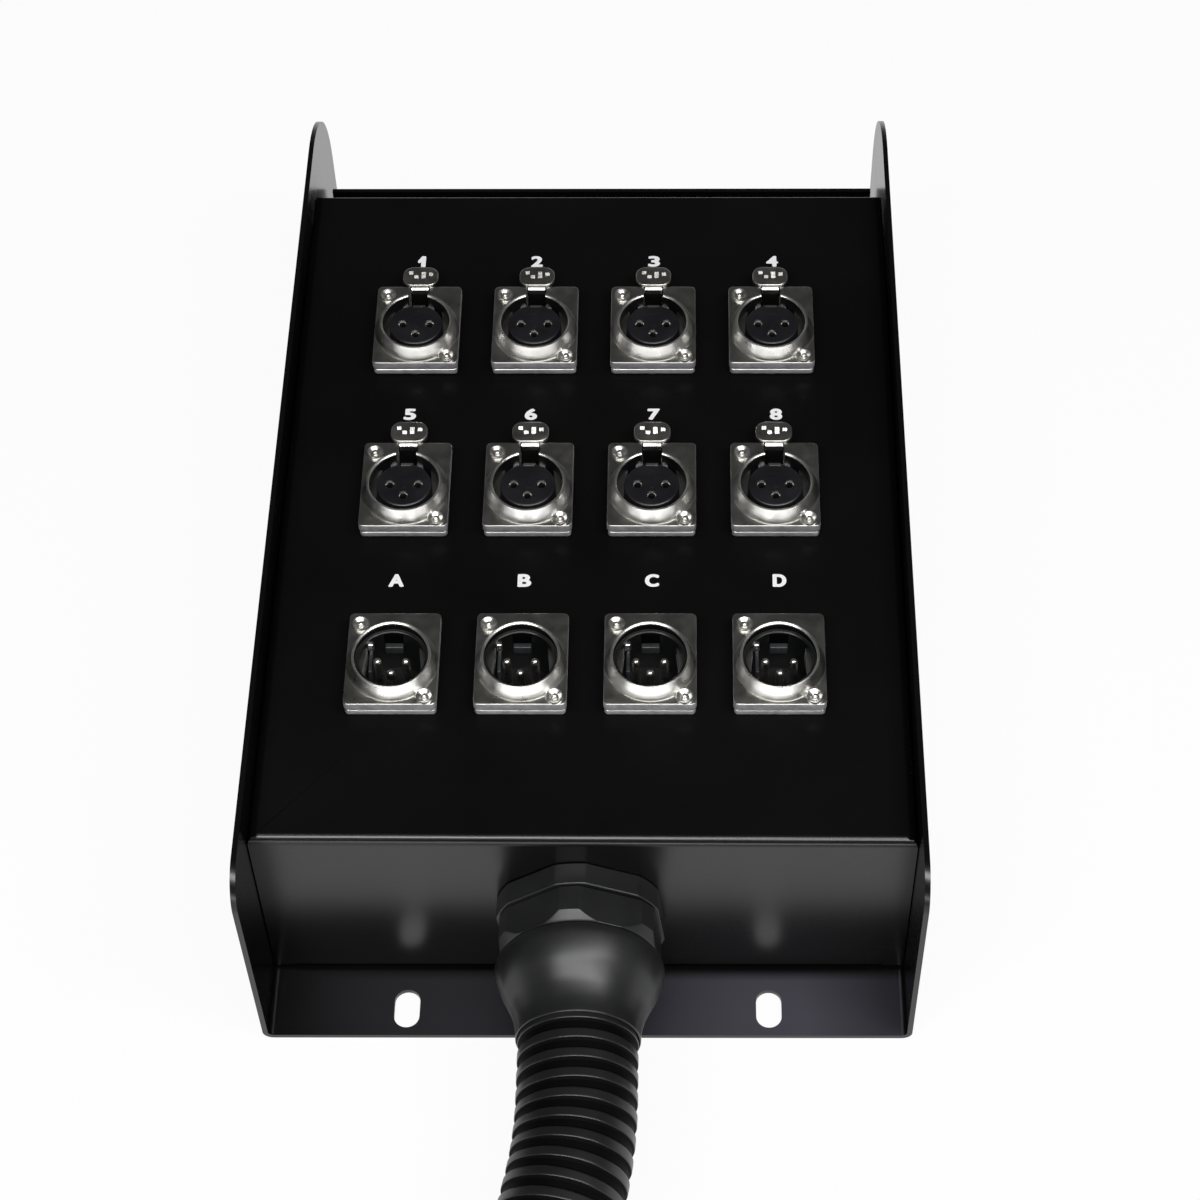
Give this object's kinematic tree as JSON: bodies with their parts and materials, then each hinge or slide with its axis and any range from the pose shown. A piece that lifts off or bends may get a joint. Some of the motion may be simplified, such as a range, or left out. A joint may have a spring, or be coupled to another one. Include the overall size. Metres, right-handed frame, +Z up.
{
  "type": "stage box snake",
  "caption": "Black folded-steel stage box with latching sockets and pin plugs on top between two side wings, and a ribbed hose and multicore cable at the front.",
  "frame": {"origin": "middle of the tray's footprint, on the surface it stands on", "axes": "+X to the right of someone who faces the front, +Y from the front, where the hose leaves, to the rear, +Z up"},
  "size_m": [0.2994, 0.7765, 0.0785],
  "materials": {
    "steel": "satin black powder coat",
    "nickel": "satin nickel plate on die casting",
    "tab": "satin nickel plate",
    "connector": "satin nickel plate",
    "insert": "moulded black contact insert",
    "gland": "satin black moulded nylon",
    "hose": "satin black corrugated conduit",
    "cable": "matt black cable jacket",
    "strap": "black hook and loop strap"
  },
  "bodies": {
    "box": {"base_tray": "steel", "top_cover": "steel", "socket_shell_1": "nickel", "socket_insert_1": "insert", "socket_shell_2": "nickel", "socket_insert_2": "insert", "socket_shell_3": "nickel", "socket_insert_3": "insert", "socket_shell_4": "nickel", "socket_insert_4": "insert", "socket_shell_5": "nickel", "socket_insert_5": "insert", "socket_shell_6": "nickel", "socket_insert_6": "insert", "socket_shell_7": "nickel", "socket_insert_7": "insert", "socket_shell_8": "nickel", "socket_insert_8": "insert", "plug_shell_A": "nickel", "plug_insert_A": "insert", "plug_shell_B": "nickel", "plug_insert_B": "insert", "plug_shell_C": "nickel", "plug_insert_C": "insert", "plug_shell_D": "nickel", "plug_insert_D": "insert", "gland_inner_nut": "gland", "gland_lock_nut": "gland", "gland_body": "gland", "gland_dome": "gland", "hose": "hose", "hose_sleeve": "gland", "cable_lead": "cable", "cable_coil": "cable", "cable_tail": "cable", "cable_tie_1": "strap", "cable_tie_2": "strap", "multipin_body": "connector", "multipin_insert": "insert"},
    "tab_1": {"push_tab_1": "tab"},
    "tab_2": {"push_tab_2": "tab"},
    "tab_3": {"push_tab_3": "tab"},
    "tab_4": {"push_tab_4": "tab"},
    "tab_5": {"push_tab_5": "tab"},
    "tab_6": {"push_tab_6": "tab"},
    "tab_7": {"push_tab_7": "tab"},
    "tab_8": {"push_tab_8": "tab"}
  },
  "joints": [
    {"name": "tab_1_press", "type": "hinge", "parent": "box", "child": "tab_1", "pos_m": [-0.0543, 0.0626, 0.07165], "axis": [-1, 0, 0], "range_deg": [0, 8], "stiffness_Nm_per_rad": 0.15, "springref_deg": -2.86},
    {"name": "tab_2_press", "type": "hinge", "parent": "box", "child": "tab_2", "pos_m": [-0.0181, 0.0626, 0.07165], "axis": [-1, 0, 0], "range_deg": [0, 8], "stiffness_Nm_per_rad": 0.15, "springref_deg": -2.86},
    {"name": "tab_3_press", "type": "hinge", "parent": "box", "child": "tab_3", "pos_m": [0.0181, 0.0626, 0.07165], "axis": [-1, 0, 0], "range_deg": [0, 8], "stiffness_Nm_per_rad": 0.15, "springref_deg": -2.86},
    {"name": "tab_4_press", "type": "hinge", "parent": "box", "child": "tab_4", "pos_m": [0.0543, 0.0626, 0.07165], "axis": [-1, 0, 0], "range_deg": [0, 8], "stiffness_Nm_per_rad": 0.15, "springref_deg": -2.86},
    {"name": "tab_5_press", "type": "hinge", "parent": "box", "child": "tab_5", "pos_m": [-0.0543, -0.0014, 0.07165], "axis": [-1, 0, 0], "range_deg": [0, 8], "stiffness_Nm_per_rad": 0.15, "springref_deg": -2.86},
    {"name": "tab_6_press", "type": "hinge", "parent": "box", "child": "tab_6", "pos_m": [-0.0181, -0.0014, 0.07165], "axis": [-1, 0, 0], "range_deg": [0, 8], "stiffness_Nm_per_rad": 0.15, "springref_deg": -2.86},
    {"name": "tab_7_press", "type": "hinge", "parent": "box", "child": "tab_7", "pos_m": [0.0181, -0.0014, 0.07165], "axis": [-1, 0, 0], "range_deg": [0, 8], "stiffness_Nm_per_rad": 0.15, "springref_deg": -2.86},
    {"name": "tab_8_press", "type": "hinge", "parent": "box", "child": "tab_8", "pos_m": [0.0543, -0.0014, 0.07165], "axis": [-1, 0, 0], "range_deg": [0, 8], "stiffness_Nm_per_rad": 0.15, "springref_deg": -2.86}
  ]
}
